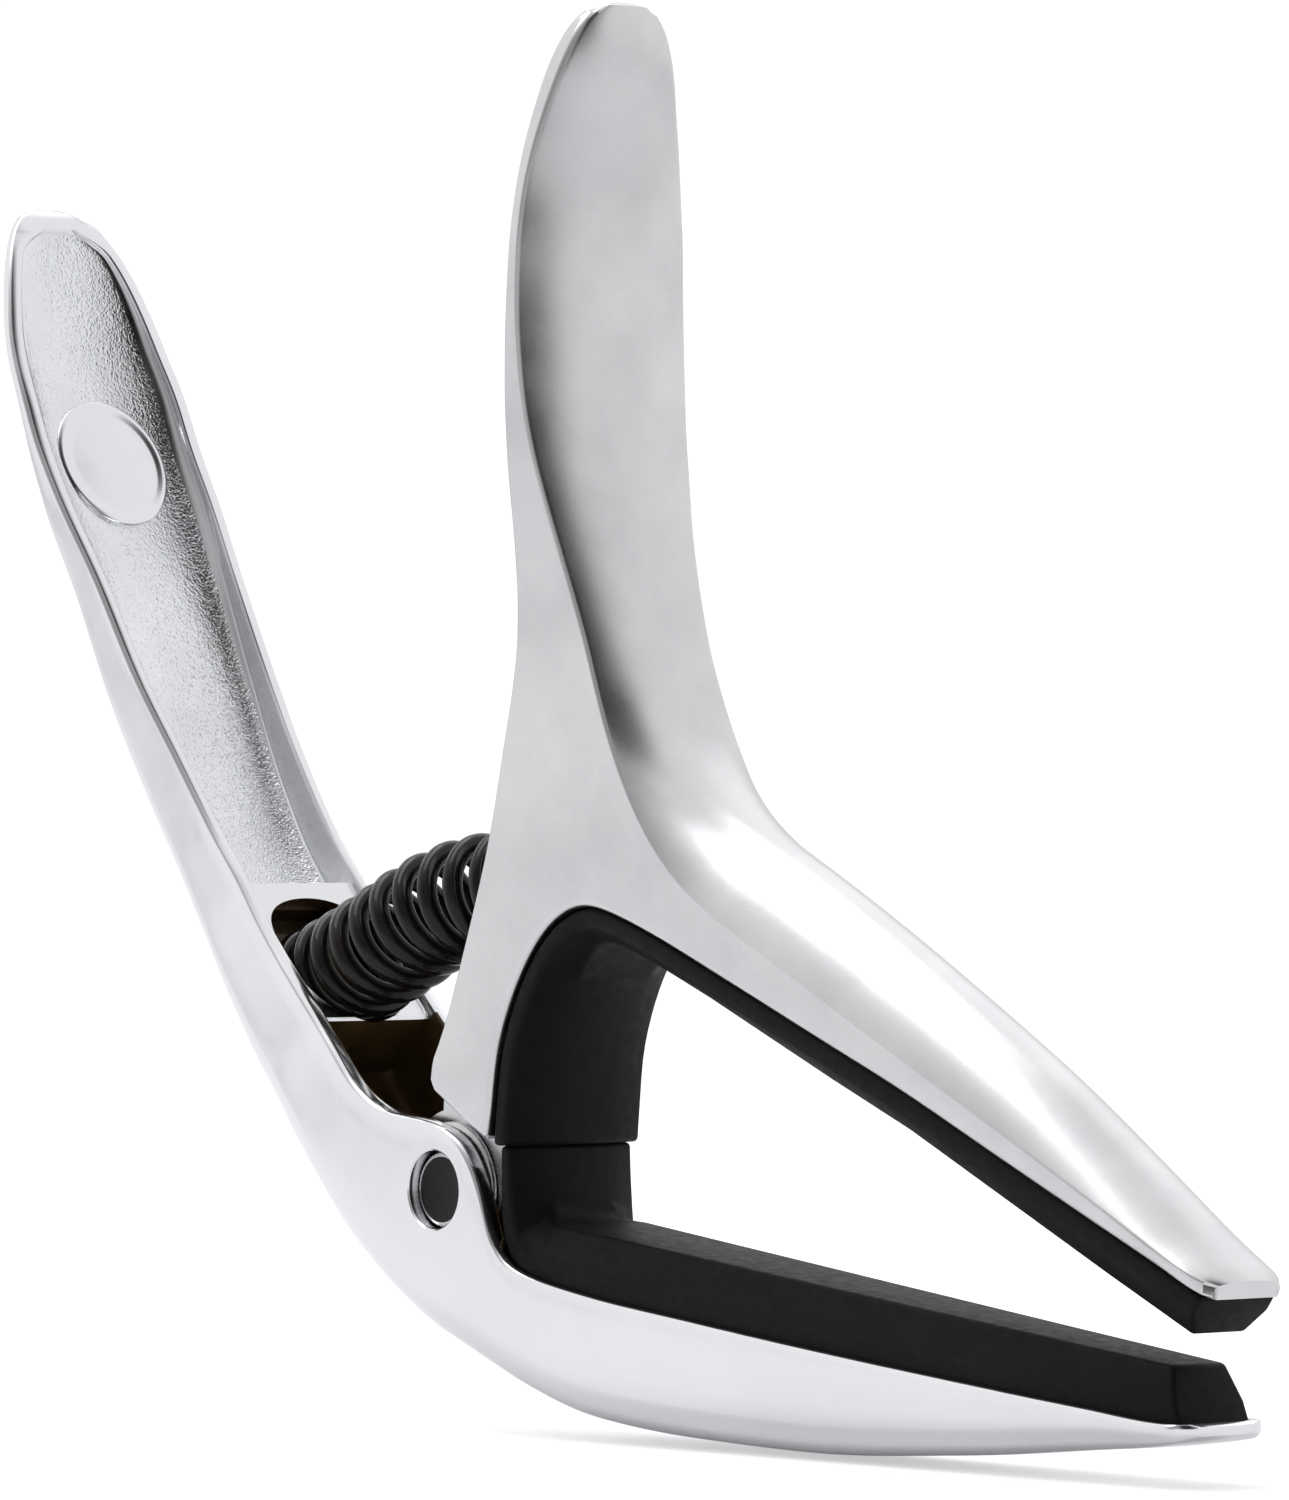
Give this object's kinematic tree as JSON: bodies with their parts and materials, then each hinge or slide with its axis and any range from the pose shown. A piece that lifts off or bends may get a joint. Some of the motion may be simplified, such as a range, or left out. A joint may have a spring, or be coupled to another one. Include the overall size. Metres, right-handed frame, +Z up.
{
  "type": "guitar capo",
  "caption": "Trigger-style guitar capo: two cast metal arms crossed on one hinge pin, a compression spring between the levers and L-shaped rubber pads on the jaws.",
  "frame": {"origin": "bottom centre of the bounding box at rest, on the surface that the belly of the lower arm stands on", "axes": "+X along the jaws towards their tips, +Y across the arms, +Z up; the part is mirrored in the XZ plane"},
  "size_m": [0.115, 0.0136, 0.088],
  "materials": {
    "polished_casting": "polished and bright plated, cast texture left in the lever's trough",
    "satin_casting": "fine-grained satin",
    "black_steel": "glossy black",
    "bright_steel": "bright",
    "pad_rubber": "matt black"
  },
  "bodies": {
    "lower": {"lower_arm": "polished_casting", "lower_pad": "pad_rubber", "pivot_pin": "black_steel", "pivot_washer_front": "bright_steel", "pivot_washer_back": "bright_steel", "return_spring": "black_steel"},
    "upper": {"upper_arm": "satin_casting", "upper_pad": "pad_rubber"}
  },
  "joints": [
    {"name": "arm_hinge", "type": "hinge", "parent": "lower", "child": "upper", "pos_m": [-0.00923, 0, 0.0147], "axis": [0, -1, 0], "range_deg": [0, 28], "stiffness_Nm_per_rad": 1.45, "springref_deg": -31.23, "deforming": ["return_spring"]}
  ]
}
